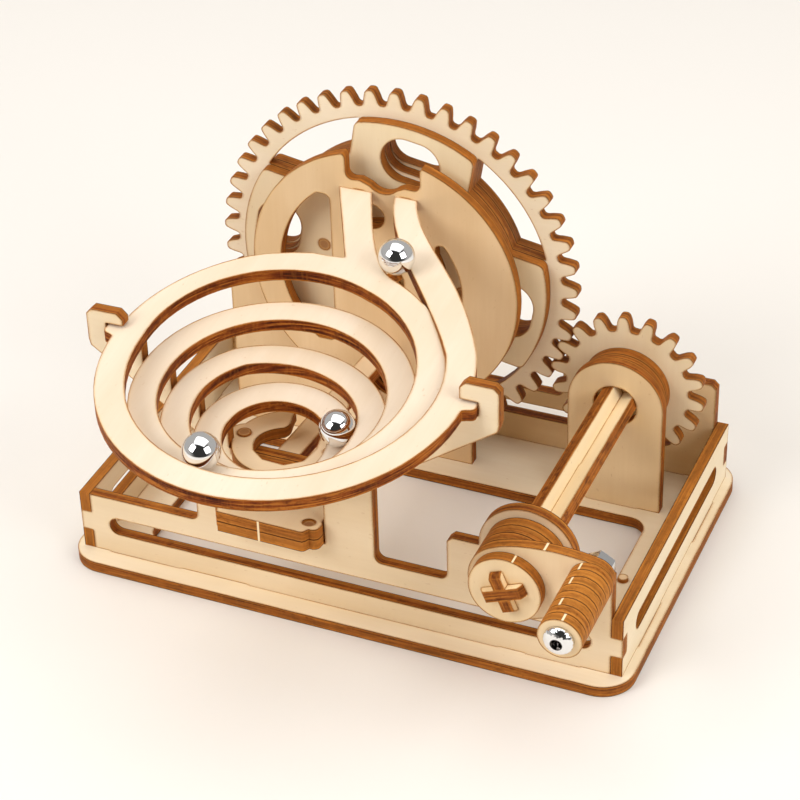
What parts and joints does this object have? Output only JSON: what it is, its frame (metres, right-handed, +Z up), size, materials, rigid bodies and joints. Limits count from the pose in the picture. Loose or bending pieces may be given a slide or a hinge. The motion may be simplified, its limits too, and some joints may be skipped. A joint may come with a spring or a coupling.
{
  "type": "hand crank marble run",
  "caption": "Laser-cut plywood marble run: a hand crank turns a small gear and a big pocketed wheel that lifts steel balls to a spiral funnel and a sloping return track.",
  "frame": {"origin": "on the table, under the middle of the run's outline: midway along the base plate, and midway between the funnel's front and the base plate's back edge", "axes": "+X to the right along the front, +Y from the crank's side to the back, +Z up"},
  "size_m": [0.15, 0.1406, 0.1071],
  "materials": {
    "birch_ply": "unfinished plywood face, pale and fine-grained, with laser-darkened cut edges",
    "birch_edge": "plywood cut on every side, layers and burnt edges showing",
    "birch_end": "round dowel, end grain showing",
    "bolt_steel": "plain bright steel",
    "ball_steel": "polished bearing ball"
  },
  "bodies": {
    "frame": {"base_plate": "birch_ply", "base_peg": "birch_end", "wall_front": "birch_ply", "wall_back": "birch_ply", "wall_left": "birch_ply", "wall_right": "birch_ply", "tower_plate": "birch_ply", "cover_disc": "birch_ply", "pinion_bracket": "birch_ply", "funnel": "birch_ply", "funnel_bracket": "birch_ply", "catch_plate": "birch_ply", "catch_pegs": "birch_end", "tie_bar": "birch_ply", "tie_peg": "birch_end", "track_upper": "birch_ply", "track_lower": "birch_ply", "track_pegs": "birch_end"},
    "wheel": {"wheel_petals": "birch_ply", "wheel_gear": "birch_ply", "wheel_back": "birch_ply", "wheel_hub_front": "birch_ply", "wheel_hub_rear": "birch_ply", "wheel_pegs": "birch_end", "wheel_axle_a": "birch_edge", "wheel_axle_b": "birch_edge"},
    "crank": {"pinion_gear": "birch_ply", "pinion_washer_1": "birch_ply", "pinion_washer_2": "birch_ply", "pinion_washer_3": "birch_ply", "pinion_washer_4": "birch_ply", "crank_shaft_a": "birch_edge", "crank_shaft_b": "birch_edge", "crank_washer_1": "birch_ply", "crank_washer_2": "birch_ply", "crank_washer_3": "birch_ply", "crank_arm": "birch_ply", "crank_end_disc": "birch_ply", "grip_bolt": "bolt_steel", "grip_nut": "bolt_steel"},
    "grip": {"grip_rings": "birch_edge"},
    "ball_1": {"ball_1": "ball_steel"},
    "ball_2": {"ball_2": "ball_steel"},
    "ball_3": {"ball_3": "ball_steel"}
  },
  "joints": [
    {"name": "wheel_spin", "type": "hinge", "parent": "frame", "child": "wheel", "pos_m": [-0.0148, 0.0538, 0.0576], "axis": [0, 1, 0], "continuous": true},
    {"name": "crank_spin", "type": "hinge", "parent": "frame", "child": "crank", "pos_m": [0.04832, 0.0216, 0.03395], "axis": [0, 1, 0], "continuous": true},
    {"name": "grip_spin", "type": "hinge", "parent": "crank", "child": "grip", "pos_m": [0.06835, -0.0444, 0.04026], "axis": [0, 1, 0], "continuous": true},
    {"name": "ball_1_lift", "type": "slide", "parent": "frame", "child": "ball_1", "axis": [0, 0, 1], "range_m": [0, 0.03]},
    {"name": "ball_2_lift", "type": "slide", "parent": "frame", "child": "ball_2", "axis": [0, 0, 1], "range_m": [0, 0.04]},
    {"name": "ball_3_lift", "type": "slide", "parent": "frame", "child": "ball_3", "axis": [0, 0, 1], "range_m": [0, 0.03]}
  ],
  "couplings": [
    {"joint": "crank_spin", "follows": "wheel_spin", "ratio": -2.5}
  ]
}
